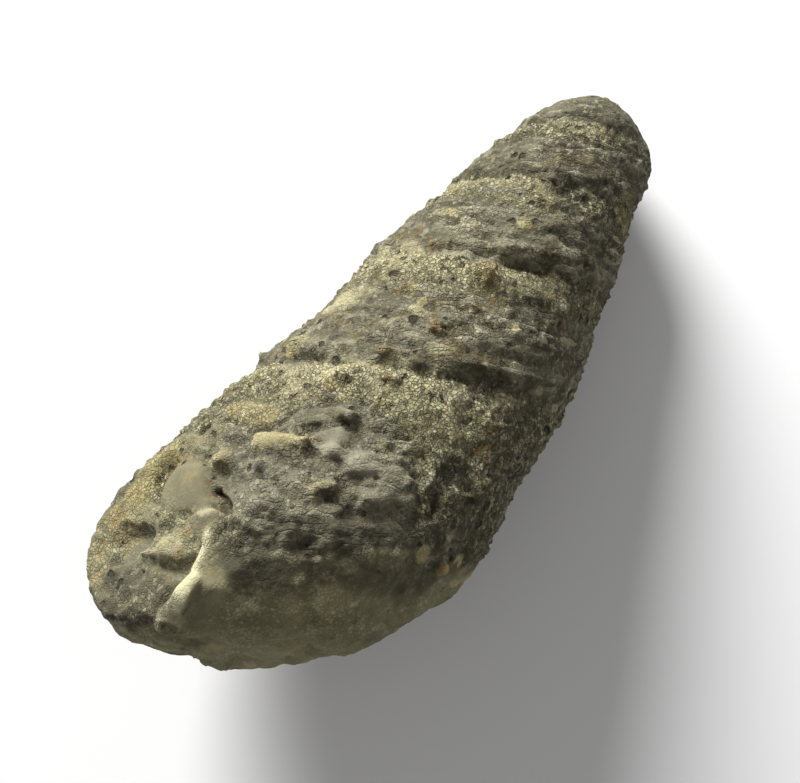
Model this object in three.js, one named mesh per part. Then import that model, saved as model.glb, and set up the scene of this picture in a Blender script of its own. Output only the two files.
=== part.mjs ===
// Internal mould of a high-spired sea snail: sandy stone that filled the shell and kept its coil.
// Millimetres, +Z up. It lies on its side: +X points to the narrow end, -X to the broken base.
// The origin is under the middle of its box, on the surface that it rests on.
//
// Every surface point is placed from the cone's virtual apex by three values:
//   distance  along the cone's axis, growing towards the base
//   angle     around the axis, 0 on top and positive towards +Y
//   radius    out from the axis
import * as THREE from "three";

const { degToRad, smoothstep, clamp, lerp } = THREE.MathUtils;

// ---- the coil ----
const CONE_HALF_ANGLE = degToRad(12.3);
const WHORL_GROWTH = 1.273; // size of each whorl against the one before it
const FIRST_SUTURE = 61; // distance at which the last suture crosses the top
const SUTURE_LEAN_TOP = 0.12; // how far the coil leans against the cone, in whorls
const SUTURE_LEAN_SIDE = 0.25;
const SUTURE_DEPTH = 0.13; // as a share of the radius
const SUTURE_FILL = 0.5; // how much of that depth is filled on the -Y side
const CREST_PHASE = 0.76; // where a whorl is fullest, from its upper suture to its lower one
const OVERHANG_PHASE = 0.87; // where it drops away to its lower suture

// ---- the two ends ----
const TIP_DISTANCE = 24.2; // the fine first whorls are worn off here
const TIP_ROUNDING = 4.8;
const BASE_PHASE = 0.9; // the base starts this far past the last suture
const BASE_LEAN = 0.5;
const BASE_HEIGHT = 13;
const BASE_ROUNDNESS = 0.77;
const BASE_SHIFT = -1.2;
const BASE_NARROWING = 0.935;
const BELLY = 0.035; // how much fuller than a cone it is halfway along

// ---- the broken faces: flat cuts, each named by the way it faces and its distance from the apex ----
const BREAKS = [
  { angle: degToRad(46), lean: degToRad(13), offset: 31.9 }, // wide, on the mouth's side
  { angle: degToRad(96), lean: degToRad(52), offset: 81.6 }, // below it, where the mouth's lip broke
  { angle: degToRad(200), lean: degToRad(34), offset: 56.6 }, // worn underside of the base
];

// ---- relief ----
const MATRIX_PHASE = 0.36; // sandy matrix fills each whorl's upper part down to here
const MATRIX_LUMP = 0.5; // height of its lumps
const SHELL_LUMP = 0.22;
const LUMP_SIZE = 2.6;
const GRAIN_COUNT = 170;
const PIT_COUNT = 36;
const BASE_GRAIN_COUNT = 26;
const BASE_MATRIX = 0.4; // how rough the base is, from shell to matrix
const BASE_SWELL = 0.8; // broad swells of the muddy base
const BASE_SWELL_SIZE = 7;
const BREAK_ROUGHNESS = 0.12;
const BREAK_ROUGHNESS_SIZE = 1.7;
const WORN_FLAT = 0.15; // height to which the underside is worn level where it touches

// Lumps, pebbles and hollows with a place of their own on the whorls.
const WHORL_FEATURES = [
  { distance: 78.8, angle: 19, radius: 1.8, height: 0.9 },
  { distance: 77.5, angle: 9, radius: 1.8, height: 0.9 },
  { distance: 70.7, angle: 0, radius: 2.0, height: 0.9 },
  { distance: 72.3, angle: 28, radius: 2.3, height: 0.7 },
  { distance: 69.7, angle: 16, radius: 2.3, height: 0.7 },
  { distance: 73.9, angle: 44, radius: 1.7, height: 1.0 },
  { distance: 76.3, angle: 37, radius: 1.7, height: 0.9 },
  { distance: 63.9, angle: 56, radius: 2.2, height: 1.0 },
  { distance: 60.9, angle: -30, radius: 1.6, height: 0.7 },
  { distance: 57.0, angle: 8, radius: 1.5, height: 0.6 },
  { distance: 75.0, angle: 3, radius: 2.0, height: -0.7 },
  { distance: 60.0, angle: 82, radius: 9.0, height: -1.0 },
  { distance: 64.5, angle: -88, radius: 9.0, height: -1.2 },
  { distance: 50.0, angle: -92, radius: 7.0, height: 0.5 },
  { distance: 39.0, angle: -92, radius: 7.0, height: 0.5 },
  { distance: 28.0, angle: 75, radius: 5.0, height: -0.6 },
  { distance: 29.0, angle: -80, radius: 5.0, height: 0.5 },
  { distance: 70.0, angle: -125, radius: 3.5, height: 0.8 },
  { distance: 58.0, angle: 135, radius: 3.0, height: 0.8 },
  { distance: 62.0, angle: 178, radius: 5.0, height: 0.5 },
  { distance: 67.5, angle: 172, radius: 4.5, height: 1.5 },
  { distance: 67.0, angle: -168, radius: 4.5, height: 1.3 },
];

// The same on the base, each at its share of the way in from the rim to the middle.
const BASE_FEATURES = [
  { share: 0.62, angle: 44, radius: 2.6, height: -1.0 },
  { share: 0.55, angle: 12, radius: 6.0, height: 0.6 },
  { share: 0.3, angle: -50, radius: 5.0, height: 0.5 },
  { share: 0.86, angle: 170, radius: 3.6, height: -2.2 },
  { share: 0.55, angle: 178, radius: 3.4, height: -1.3 },
  { share: 0.5, angle: -150, radius: 4.5, height: 1.1 },
  { share: 0.75, angle: -110, radius: 3.5, height: 0.7 },
  { share: 0.42, angle: 120, radius: 4.0, height: 0.9 },
  { share: 0.45, angle: -95, radius: 4.0, height: -0.6 },
  { share: 0.28, angle: 38, radius: 4.0, height: -0.6 },
  { share: 0.22, angle: 30, radius: 1.8, height: 0.7 },
  { share: 0.4, angle: 76, radius: 5.0, height: -0.9 },
  { share: 0.8, angle: 30, radius: 5.0, height: 0.8 },
];

// Facets, ridges and knobs of the broken faces, placed like those of the base.
const BREAK_FEATURES = [
  { share: 0.17, angle: 58, radius: 3.4, height: -1.0 },
  { share: 0.12, angle: 38, radius: 2.6, height: 0.8 },
  { share: 0.36, angle: 50, radius: 2.2, height: 0.6 },
  { share: 0.32, angle: 76, radius: 2.0, height: 0.5 },
  { share: 0.02, angle: 62, radius: 2.0, height: 0.6 },
  { share: 0.02, angle: 30, radius: 1.9, height: -0.9 },
];

// ---- mesh ----
const SEGMENTS = 80; // around
const TIP_ROWS = 5;
const SIDE_ROWS = 43;
const BASE_ROWS = 13;
const STONE = new THREE.MeshStandardMaterial({ color: 0x8f8a72, roughness: 0.93, metalness: 0 });
STONE.name = "fossil_stone";

const SLOPE = Math.tan(CONE_HALF_ANGLE);
const AXIS = new THREE.Vector3(-Math.cos(CONE_HALF_ANGLE), 0, Math.sin(CONE_HALF_ANGLE));
const UPWARD = new THREE.Vector3(Math.sin(CONE_HALF_ANGLE), 0, Math.cos(CONE_HALF_ANGLE));
const SIDEWAYS = new THREE.Vector3(0, 1, 0);
const LOG_GROWTH = Math.log(WHORL_GROWTH);

// A repeatable value from 0 to 1 for each whole-number place.
function scatter(x, y, z) {
  const value = Math.sin(x * 127.1 + y * 311.7 + z * 74.7) * 43758.5453;
  return value - Math.floor(value);
}

// Smooth noise from -1 to 1 over space.
function lumpNoise(point, size) {
  const [x, y, z] = [point.x / size, point.y / size, point.z / size];
  const [x0, y0, z0] = [Math.floor(x), Math.floor(y), Math.floor(z)];
  const [u, v, w] = [smoothstep(x - x0, 0, 1), smoothstep(y - y0, 0, 1), smoothstep(z - z0, 0, 1)];
  const edge = (dy, dz) => lerp(scatter(x0, y0 + dy, z0 + dz), scatter(x0 + 1, y0 + dy, z0 + dz), u);
  const sheet = (dz) => lerp(edge(0, dz), edge(1, dz), v);
  return 2 * lerp(sheet(0), sheet(1), w) - 1;
}

function coilLean(angle) {
  return SUTURE_LEAN_TOP * (Math.cos(angle) - 1) + SUTURE_LEAN_SIDE * Math.sin(angle);
}

// Whorls past the last suture: whole numbers lie on sutures, negative towards the tip.
function whorlPhase(distance, angle) {
  const turned = Math.log(distance / FIRST_SUTURE) / LOG_GROWTH;
  return turned - angle / (2 * Math.PI) - coilLean(angle);
}

// A whorl swells from its upper suture to a crest, then drops under its own overhang.
// On the -Y side the sutures are choked with matrix, so they are shallower there, and
// underneath the drop is worn to a gentler one.
function whorlFullness(phase, angle) {
  const part = phase - Math.floor(phase);
  const swell = Math.sin((clamp(part / CREST_PHASE, 0, 1) * Math.PI) / 2);
  const under = smoothstep(-Math.cos(angle), 0, 1);
  const drop = smoothstep(part, lerp(OVERHANG_PHASE, CREST_PHASE, under), 1);
  const choked = smoothstep(-Math.sin(angle), 0.2, 1);
  return 1 - SUTURE_DEPTH * (1 - SUTURE_FILL * choked) * (1 - swell + drop);
}

// How much of a place is sandy matrix: all of it next to a suture, none on the crest.
function matrixShare(phase) {
  const part = phase - Math.floor(phase);
  return 1 - smoothstep(part, MATRIX_PHASE - 0.12, MATRIX_PHASE + 0.08);
}

// Distance at which the base starts, for each angle: the last whorl runs on towards +Y.
function baseStart(angle) {
  const lean = SUTURE_LEAN_TOP * (Math.cos(angle) - 1) + BASE_LEAN * Math.sin(angle);
  return FIRST_SUTURE * Math.exp(LOG_GROWTH * (BASE_PHASE + lean));
}

const BASE_MIDDLE = baseStart(0) + BASE_SHIFT;

function placed(distance, angle, radius) {
  return new THREE.Vector3()
    .addScaledVector(AXIS, distance)
    .addScaledVector(UPWARD, radius * Math.cos(angle))
    .addScaledVector(SIDEWAYS, radius * Math.sin(angle));
}

// A ring of points, told by its share of the way down the tip, the side or the base.
function ringOf(row) {
  if (row <= TIP_ROWS) return { part: "tip", share: row / TIP_ROWS };
  if (row <= TIP_ROWS + SIDE_ROWS) return { part: "side", share: (row - TIP_ROWS) / SIDE_ROWS };
  return { part: "base", share: (row - TIP_ROWS - SIDE_ROWS) / BASE_ROWS };
}

// Radius of the whorls at a distance, and how much of the surface there is matrix.
function sideRadius(distance, angle) {
  const along = clamp((distance - TIP_DISTANCE) / (baseStart(angle) - TIP_DISTANCE), 0, 1);
  const shape = 1 + (BASE_NARROWING - 1) * along ** 3 + BELLY * Math.sin(Math.PI * along);
  return SLOPE * distance * shape * whorlFullness(whorlPhase(distance, angle), angle);
}

// A point of the smooth form, with the way its surface faces there.
function smoothSpot(part, share, angle) {
  const start = baseStart(angle);
  const sweep = (share * Math.PI) / 2;
  let distance = lerp(TIP_DISTANCE + TIP_ROUNDING, start, share);
  let closing = 1;
  let facing = 0;
  if (part === "tip") {
    distance = TIP_DISTANCE + TIP_ROUNDING * (1 - Math.cos(sweep));
    closing = Math.sin(sweep);
    facing = sweep - Math.PI / 2;
  } else if (part === "base") {
    distance = lerp(start, BASE_MIDDLE, share * share) + BASE_HEIGHT * Math.sin(sweep);
    closing = share === 1 ? 0 : Math.cos(sweep) ** BASE_ROUNDNESS;
    facing = sweep;
  }
  const onSide = Math.min(distance, start);
  const radius = sideRadius(onSide, angle) * closing;
  const outward = placed(Math.sin(facing), angle, Math.cos(facing));
  return { point: placed(distance, angle, radius), outward, onSide, closing };
}

function whorlBump({ distance, angle, radius, height }) {
  const turn = degToRad(angle);
  return { centre: placed(distance, turn, sideRadius(distance, turn)), radius, height };
}

function baseBump({ share, angle, radius, height }) {
  return { centre: smoothSpot("base", share, degToRad(angle)).point, radius, height };
}

// Coarse sand grains that stand out, and pits where grains fell out.
function scatteredBumps() {
  const bumps = [];
  for (let i = 0; i < GRAIN_COUNT + PIT_COUNT; i++) {
    const size = scatter(i, 4, 0);
    bumps.push(
      whorlBump({
        distance: lerp(TIP_DISTANCE + 2, baseStart(0), Math.sqrt(scatter(i, 1, 0))),
        angle: 360 * scatter(i, 2, 0) - 180,
        radius: lerp(1.0, 1.6, scatter(i, 3, 0)),
        height: i < GRAIN_COUNT ? lerp(0.3, 0.7, size) : -lerp(0.3, 0.6, size),
      }),
    );
  }
  for (let i = 0; i < BASE_GRAIN_COUNT; i++) {
    bumps.push(
      baseBump({
        share: lerp(0.05, 0.85, scatter(i, 5, 1)),
        angle: 360 * scatter(i, 6, 1) - 180,
        radius: lerp(1.1, 1.9, scatter(i, 7, 1)),
        height: lerp(-0.6, 0.8, scatter(i, 8, 1)),
      }),
    );
  }
  return bumps;
}

const BUMPS = [
  ...WHORL_FEATURES.map(whorlBump),
  ...BASE_FEATURES.map(baseBump),
  ...scatteredBumps(),
];
const BREAK_BUMPS = BREAK_FEATURES.map(baseBump);
for (const { centre } of BREAK_BUMPS) cutBack(centre);

// Height added by all the lumps and hollows of a list near a point.
function bumpHeight(point, bumps) {
  let height = 0;
  for (const bump of bumps) {
    const gap = point.distanceTo(bump.centre) / bump.radius;
    if (gap < 1) height += bump.height * (1 - gap * gap) ** 1.5;
  }
  return height;
}

// Flattens a point that stands past a broken face onto that face.
function cutBack(point) {
  for (const { angle, lean, offset } of BREAKS) {
    const normal = placed(Math.sin(lean), angle, Math.cos(lean));
    const past = point.dot(normal) - offset;
    if (past > 0) point.addScaledVector(normal, -past);
  }
}

function fossilPoint(row, angle) {
  const { part, share } = ringOf(row);
  const { point, outward, onSide, closing } = smoothSpot(part, share, angle);
  const matrix = part === "side" ? matrixShare(whorlPhase(onSide, angle)) : BASE_MATRIX;
  const lumps = lerp(SHELL_LUMP, MATRIX_LUMP, matrix) * lumpNoise(point, LUMP_SIZE);
  const swells = BASE_SWELL * (1 - closing) * lumpNoise(point, BASE_SWELL_SIZE);
  point.addScaledVector(outward, lumps + swells + bumpHeight(point, BUMPS));
  cutBack(point);
  const roughness = BREAK_ROUGHNESS * lumpNoise(point, BREAK_ROUGHNESS_SIZE);
  point.addScaledVector(outward, roughness + bumpHeight(point, BREAK_BUMPS));
  point.z = Math.max(point.z, WORN_FLAT);
  return point;
}

const LAST_ROW = TIP_ROWS + SIDE_ROWS + BASE_ROWS;

// A lathed sleeve gives the closed net of faces, and each of its points is then put in place.
function fossilGeometry() {
  const profile = [];
  for (let row = 0; row <= LAST_ROW; row++) {
    const radius = row === 0 || row === LAST_ROW ? 0 : 1;
    profile.push(new THREE.Vector2(radius, row));
  }
  const geometry = new THREE.LatheGeometry(profile, SEGMENTS);
  const position = geometry.getAttribute("position");
  for (let i = 0; i < position.count; i++) {
    const row = i % profile.length;
    const segment = Math.floor(i / profile.length) % SEGMENTS;
    const point = fossilPoint(row, ((segment / SEGMENTS) * 2 - 1) * Math.PI);
    position.setXYZ(i, point.x, point.y, point.z);
  }
  geometry.computeBoundingBox();
  const { min, max } = geometry.boundingBox;
  geometry.translate(-(min.x + max.x) / 2, -(min.y + max.y) / 2, -min.z);
  geometry.computeVertexNormals();
  return geometry;
}

const fossil = new THREE.Group();
const shell = new THREE.Mesh(fossilGeometry(), STONE);
shell.name = "fossil_shell";
fossil.add(shell);

export default fossil;
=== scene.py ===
import math
import random
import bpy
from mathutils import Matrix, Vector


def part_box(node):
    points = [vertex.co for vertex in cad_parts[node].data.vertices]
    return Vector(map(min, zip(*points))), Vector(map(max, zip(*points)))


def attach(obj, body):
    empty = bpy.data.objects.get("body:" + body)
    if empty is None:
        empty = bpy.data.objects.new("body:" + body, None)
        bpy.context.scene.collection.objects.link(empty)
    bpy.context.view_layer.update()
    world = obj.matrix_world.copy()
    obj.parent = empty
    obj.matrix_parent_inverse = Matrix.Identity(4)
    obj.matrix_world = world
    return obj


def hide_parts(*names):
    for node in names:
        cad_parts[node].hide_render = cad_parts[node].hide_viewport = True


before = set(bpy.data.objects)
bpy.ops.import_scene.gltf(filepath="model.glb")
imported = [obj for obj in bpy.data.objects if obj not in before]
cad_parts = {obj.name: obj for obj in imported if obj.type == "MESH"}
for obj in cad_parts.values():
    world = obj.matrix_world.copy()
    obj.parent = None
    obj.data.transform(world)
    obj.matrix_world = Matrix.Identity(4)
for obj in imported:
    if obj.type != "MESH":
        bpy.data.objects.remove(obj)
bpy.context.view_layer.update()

from types import SimpleNamespace

import bpy
import numpy as np
from mathutils import Matrix, Vector, noise
from mathutils.bvhtree import BVHTree
from mathutils.kdtree import KDTree

# Internal mould of a high-spired snail, lying on its side. Sizes are in millimetres, and MM makes
# them metres. A place on it is a distance from the cone's virtual apex along the coil's axis and
# an angle in degrees about that axis, 0 on top and positive towards +Y.
MM = 0.001

# ---- the coil ----
CONE_HALF_ANGLE = math.radians(12.3)
WHORL_GROWTH = 1.273
FIRST_SUTURE = 61.0  # where the last suture crosses the top
SUTURE_LEAN_TOP = 0.12
SUTURE_LEAN_SIDE = 0.25
SUTURE_DEPTH = 0.048
SUTURE_FILL = 0.5  # how much of the suture is choked on the -Y side
CREST_PHASE = 0.76
OVERHANG_PHASE = 0.86
MATRIX_PHASE = 0.38  # sandy matrix covers each whorl's upper part down to here

# ---- the two ends ----
TIP_DISTANCE = 24.2
TIP_ROUNDING = 4.8
BASE_PHASE = 0.9
BASE_LEAN = 0.5
BASE_HEIGHT = 13.0
BASE_ROUNDNESS = 0.77
BASE_SHIFT = -1.2
BASE_NARROWING = 0.935
BELLY = 0.035

# The wide break on the mouth's side, the broken lip below it, and the worn underside.
BREAKS = [(46, 13, 31.9), (96, 52, 81.6), (200, 34, 56.6)]  # angle, lean to the base, offset

SEGMENTS = 208
RINGS = 240
TIP_SHARE = 0.085  # the ball's way from pole to pole: the tip ends here and the base starts there
BASE_SHARE = 0.745
FIRST_CELL = 0.3  # cells of the two remeshed skins
STONE_CELL = 0.272
OUTSIDE = 60.0  # farther from the axis than any of the skin
MM_PER_DEGREE = 0.26  # the way round a whorl of middling size

SLOPE = math.tan(CONE_HALF_ANGLE)
LOG_GROWTH = math.log(WHORL_GROWTH)
AXIS = np.array([-math.cos(CONE_HALF_ANGLE), 0, math.sin(CONE_HALF_ANGLE)])
UPWARD = np.array([math.sin(CONE_HALF_ANGLE), 0, math.cos(CONE_HALF_ANGLE)])
SIDEWAYS = np.array([0.0, 1.0, 0.0])

APEX_PAST_TIP = 23.636
APEX_ASIDE = -2.149
APEX_BELOW = 0.204
TIP_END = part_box("fossil_shell")[1].x / MM
APEX = np.array([TIP_END + APEX_PAST_TIP, APEX_ASIDE, -APEX_BELOW])


# ---- the form of the coil ----

def smooth(value, low, high):
    step = np.clip((value - low) / (high - low), 0, 1)
    return step * step * (3 - 2 * step)


def coil_lean(angle, side_lean=SUTURE_LEAN_SIDE):
    """How far a suture runs ahead of an even spiral, in whorls."""
    return SUTURE_LEAN_TOP * (np.cos(angle) - 1) + side_lean * np.sin(angle)


def whorl_phase(distance, angle):
    """Whorls past the last suture: whole numbers lie on sutures."""
    turned = np.log(distance / FIRST_SUTURE) / LOG_GROWTH
    return turned - angle / (2 * math.pi) - coil_lean(angle)


def whorl_fullness(distance, angle):
    """A whorl swells from its upper suture to a crest, then drops under its own overhang."""
    phase = whorl_phase(distance, angle)
    part = phase - np.floor(phase)
    swell = np.sin(np.clip(part / CREST_PHASE, 0, 1) * math.pi / 2)
    under = smooth(-np.cos(angle), 0, 1)
    drop = smooth(part, OVERHANG_PHASE + (CREST_PHASE - OVERHANG_PHASE) * under, 1)
    choked = smooth(-np.sin(angle), 0.2, 1)
    return 1 - SUTURE_DEPTH * (1 - SUTURE_FILL * choked) * (1 - swell + drop)


def base_start(angle):
    """Distance at which the last whorl turns over into the base."""
    return FIRST_SUTURE * np.exp(LOG_GROWTH * (BASE_PHASE + coil_lean(angle, BASE_LEAN)))


def side_radius(distance, angle):
    """How far the side of the whorls is from the axis."""
    start = base_start(angle)
    along = np.clip((distance - TIP_DISTANCE) / (start - TIP_DISTANCE), 0, 1)
    shape = 1 + (BASE_NARROWING - 1) * along**3 + BELLY * np.sin(math.pi * along)
    return SLOPE * distance * shape * whorl_fullness(distance, angle)


def placed(distance, angle, radius):
    """Points in millimetres, in the part's frame."""
    distance, angle, radius = np.broadcast_arrays(distance, angle, radius)
    outward = np.multiply.outer(np.cos(angle), UPWARD) + np.multiply.outer(np.sin(angle), SIDEWAYS)
    return APEX + np.multiply.outer(distance, AXIS) + outward * radius[..., None]


def coil_place(points):
    """Distance, angle and radius of points in millimetres."""
    from_apex = points - APEX
    up, aside = from_apex @ UPWARD, from_apex @ SIDEWAYS
    return from_apex @ AXIS, np.arctan2(aside, up), np.hypot(up, aside)


def facing_way(degrees, lean):
    """The way out from the axis at an angle, leaning to the base, both in degrees."""
    lean = math.radians(lean)
    return placed(math.sin(lean), math.radians(degrees), math.cos(lean)) - APEX


def waves(points, scale, shift=(0, 0, 0)):
    """Smooth noise at each point, from about -1 to 1."""
    return np.array([noise.noise(Vector(point) * scale + Vector(shift)) for point in points])


# ---- small helpers for meshes ----

def start_alone():
    if bpy.context.mode != "OBJECT":
        bpy.ops.object.mode_set(mode="OBJECT")
    bpy.ops.object.select_all(action="DESELECT")


def pick_only(piece):
    start_alone()
    piece.select_set(True)
    bpy.context.view_layer.objects.active = piece


def vectors_of(piece, key):
    flat = np.empty(len(piece.data.vertices) * 3)
    piece.data.vertices.foreach_get(key, flat)
    return flat.reshape(-1, 3)


def points_of(piece):
    return vectors_of(piece, "co") / MM


def put_points(piece, points):
    piece.data.vertices.foreach_set("co", (points * MM).ravel())
    piece.data.update()


def apply_modifier(piece, kind, **settings):
    pick_only(piece)
    modifier = piece.modifiers.new(kind.lower(), kind)
    for name, value in settings.items():
        setattr(modifier, name, value)
    bpy.ops.object.modifier_apply(modifier=modifier.name)


# ---- the body of the mould ----

def draw_out_spire():
    """A ball is drawn out along the coil's axis into the whorls, the worn tip and the base."""
    start_alone()
    bpy.ops.mesh.primitive_uv_sphere_add(segments=SEGMENTS, ring_count=RINGS, radius=1)
    spire = bpy.context.object
    spire.name = "fossil_stone"
    ball = points_of(spire) * MM
    share = np.arccos(np.clip(ball[:, 2], -1, 1)) / math.pi
    angle = -np.arctan2(ball[:, 1], ball[:, 0])
    start = base_start(angle)
    middle = base_start(0.0) + BASE_SHIFT
    in_tip, in_base = share < TIP_SHARE, share > BASE_SHARE

    tip_sweep = np.clip(share / TIP_SHARE, 0, 1) * math.pi / 2
    base_part = np.clip((share - BASE_SHARE) / (1 - BASE_SHARE), 0, 1)
    base_sweep = base_part * math.pi / 2
    along = np.clip((share - TIP_SHARE) / (BASE_SHARE - TIP_SHARE), 0, 1)
    tip_end = TIP_DISTANCE + TIP_ROUNDING
    distance = tip_end + (start - tip_end) * along
    distance = np.where(in_tip, tip_end - TIP_ROUNDING * np.cos(tip_sweep), distance)
    base_distance = start + (middle - start) * base_part**2 + BASE_HEIGHT * np.sin(base_sweep)
    distance = np.where(in_base, base_distance, distance)
    closing = np.where(in_tip, np.sin(tip_sweep), 1.0)
    closing = np.where(in_base, np.clip(np.cos(base_sweep), 0, 1) ** BASE_ROUNDNESS, closing)
    radius = side_radius(np.minimum(distance, start), angle) * closing
    put_points(spire, placed(distance, angle, radius))
    return spire


def break_faces(spire):
    """Saws the broken faces flat."""
    for degrees, lean, offset in BREAKS:
        facing = facing_way(degrees, lean)
        pick_only(spire)
        bpy.ops.object.mode_set(mode="EDIT")
        bpy.ops.mesh.select_all(action="SELECT")
        bpy.ops.mesh.bisect(plane_co=(APEX + facing * offset) * MM, plane_no=facing,
                            use_fill=True, clear_outer=True)
        bpy.ops.object.mode_set(mode="OBJECT")


def skin_of(piece):
    return BVHTree.FromPolygons([v.co / MM for v in piece.data.vertices],
                                [p.vertices for p in piece.data.polygons])


def spot_on(skin, distance, degrees):
    """The point of the skin at a place, and its normal, as seen from outside."""
    angle = math.radians(degrees)
    outside = Vector(placed(distance, angle, OUTSIDE))
    axis_point = Vector(placed(distance, angle, 0.0))
    hit = skin.ray_cast(outside, (axis_point - outside).normalized())
    if hit[0] is None:
        hit = skin.find_nearest(axis_point)
    return np.array(hit[0]), np.array(hit[1])


def gaps_from(points, spot):
    return np.linalg.norm(points - spot, axis=1)


# ---- grains, pebbles and fragments ----

CREAM = (0.361, 0.315, 0.161)
GREY = (0.195, 0.178, 0.123)
PALE_GREY = (0.292, 0.275, 0.198)
AMBER = (0.146, 0.104, 0.043)
BROWN = (0.083, 0.064, 0.032)
OCHRE = (0.292, 0.22, 0.09)
YELLOW = (0.351, 0.3, 0.128)

FRAGMENT_HALF_DEPTH = 0.9
# Fragments and pebbles: from one place to another, width, how far they stand out, colour.
FRAGMENTS = [
    ((74.9, 8.8), (74, 3.9), 1.4, 0.8, CREAM),
    ((79.9, 20.4), (78.5, 11.8), 2.9, 0.8, GREY),
    ((78.3, 11.2), (77.2, 5.6), 2.3, 0.8, GREY),
    ((78.8, 30), (77.8, 20.5), 2.3, 0.45, GREY),
    ((76.5, 42.5), (75.7, 36.8), 1.6, 0.85, CREAM),
    ((74.3, 44), (73.3, 38.6), 1.4, 0.8, GREY),
    ((76, 30), (74.9, 22), 1.8, 0.3, GREY),
    ((73.2, 9), (72.2, 3), 1.5, 0.3, GREY),
    ((75.2, 19), (74.2, 12), 1.6, 0.3, GREY),
    ((73.8, -6), (72.6, -14.5), 2, 0.35, GREY),
    ((76.9, -2), (75.9, -9), 1.7, 0.35, GREY),
    ((64.6, 55), (63.3, 49), 1.9, 0.75, CREAM),
    ((64.4, 48.7), (63.3, 40), 1.4, 0.45, GREY),
    ((63.4, 36), (62.2, 29.2), 1.4, 0.4, GREY),
    ((46.2, 53), (45.5, 34.7), 1, 0.25, CREAM),
    ((56.6, -4), (55.2, -13), 1.6, 0.4, GREY),
    ((59, 24), (58.2, 15), 1.2, 0.35, GREY),
]

# Single grains on the whorls: distance, angle, size, colour.
GRAINS = [
    (57.3, 7.5, 1.3, AMBER), (61.3, 17.7, 1.3, AMBER), (53.4, 0, 1.2, AMBER),
    (51.7, -27.5, 1.2, BROWN), (61.2, -28.9, 1.9, AMBER), (66.1, 25.6, 1.2, OCHRE),
    (63.4, 11.4, 1.2, AMBER), (68, 13.2, 1.3, BROWN), (65.5, 24.7, 1.3, BROWN),
    (71.1, 9.5, 1.1, BROWN), (71.5, 19.2, 1, OCHRE), (50, 4.6, 1.7, OCHRE),
    (50.6, 0.5, 1.4, OCHRE), (68.4, -29.4, 1.4, YELLOW), (73.2, -44.7, 1.2, OCHRE),
    (39.7, -22.7, 1.1, PALE_GREY), (47.5, -37.8, 1.1, PALE_GREY), (52.9, -19.9, 1.2, CREAM),
    (68.5, -20.2, 1.4, PALE_GREY), (25.8, 12, 0.8, OCHRE),
]
GRAIN_COUNT = 420  # with those scattered by chance
GRAIN_REACH = 60  # how far past the tip they are scattered
GRAIN_COLOURS = [AMBER, BROWN, CREAM, CREAM, GREY, GREY, GREY, GREY, PALE_GREY, YELLOW]


def turned_to(along, outward):
    """Axes of a stone that lies along a direction, with its third axis outward."""
    outward = outward / np.linalg.norm(outward)
    along = along - outward * np.dot(along, outward)
    along /= np.linalg.norm(along)
    return np.column_stack([along, np.cross(outward, along), outward])


def fragment_stones(skin):
    """Stones that lie on the skin from one place to another: centre, axes, half sizes, colour."""
    for start, end, width, height, colour in FRAGMENTS:
        a, facing_a = spot_on(skin, *start)
        b, facing_b = spot_on(skin, *end)
        turn = turned_to(b - a, facing_a + facing_b)
        centre = (a + b) / 2 + turn[:, 2] * (height - FRAGMENT_HALF_DEPTH)
        half_sizes = (np.linalg.norm(b - a) / 2 + 0.2, width / 2 + 0.15, FRAGMENT_HALF_DEPTH)
        yield centre, turn, np.array(half_sizes), colour


def scattered_grains(chance):
    """The listed grains, then more by chance, thickest in the sandy matrix."""
    grains = list(GRAINS)
    while len(grains) < GRAIN_COUNT:
        distance = TIP_DISTANCE + 2 + GRAIN_REACH * math.sqrt(chance.random())
        degrees = chance.uniform(-180, 180)
        phase = float(whorl_phase(distance, math.radians(degrees))) % 1
        if distance < 74 and chance.random() < (0.35 if phase > MATRIX_PHASE else 1.0):
            size = 0.55 + 0.75 * chance.random() ** 2
            grains.append((distance, degrees, size, chance.choice(GRAIN_COLOURS)))
    return grains


def grain_stones(skin, chance):
    """Grains that lie any way round, sunk in the skin, while the listed ones stand out."""
    for i, (distance, degrees, size, colour) in enumerate(scattered_grains(chance)):
        spot, facing = spot_on(skin, distance, degrees)
        turn = turned_to(np.array([chance.uniform(-1, 1) + 0.01 for _ in range(3)]), facing)
        tall = size * chance.uniform(0.24, 0.36)
        long, wide = size * chance.uniform(0.5, 0.68), size * chance.uniform(0.36, 0.5)
        lift = chance.uniform(-0.6, 0.0) + (i < len(GRAINS))
        yield spot + turn[:, 2] * tall * lift, turn, np.array([long, wide, tall]), colour


def set_stones(spire):
    """Embeds fragments, pebbles and sand grains in the skin, and joins them to it."""
    skin = skin_of(spire)
    stones = [*fragment_stones(skin), *grain_stones(skin, random.Random(7))]
    pebbles = [spire]
    for centre, turn, half_sizes, _ in stones:
        start_alone()
        bpy.ops.mesh.primitive_ico_sphere_add(subdivisions=2, radius=1)
        pebbles.append(bpy.context.object)
        ball = points_of(pebbles[-1]) * MM
        bulge = 1 + 0.5 * waves(ball, 1.1, centre * 3.1)
        put_points(pebbles[-1], ball * np.outer(bulge, half_sizes) @ turn.T + centre)
    pick_only(spire)
    for pebble in pebbles:
        pebble.select_set(True)
    bpy.ops.object.join()
    return stones


# ---- strokes on the remeshed stone ----

def near_path(points, path):
    """Shortest way from each point to a path, and the nearest point's share of the path."""
    best = np.full(len(points), 1e9)
    share = np.zeros(len(points))
    for i, (a, b) in enumerate(zip(path, path[1:])):
        along = b - a
        t = np.clip((points - a) @ along / (along @ along), 0, 1)
        gap = gaps_from(points, a + t[:, None] * along)
        nearer = gap < best
        best = np.where(nearer, gap, best)
        share = np.where(nearer, (i + t) / (len(path) - 1), share)
    return best, share


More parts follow.
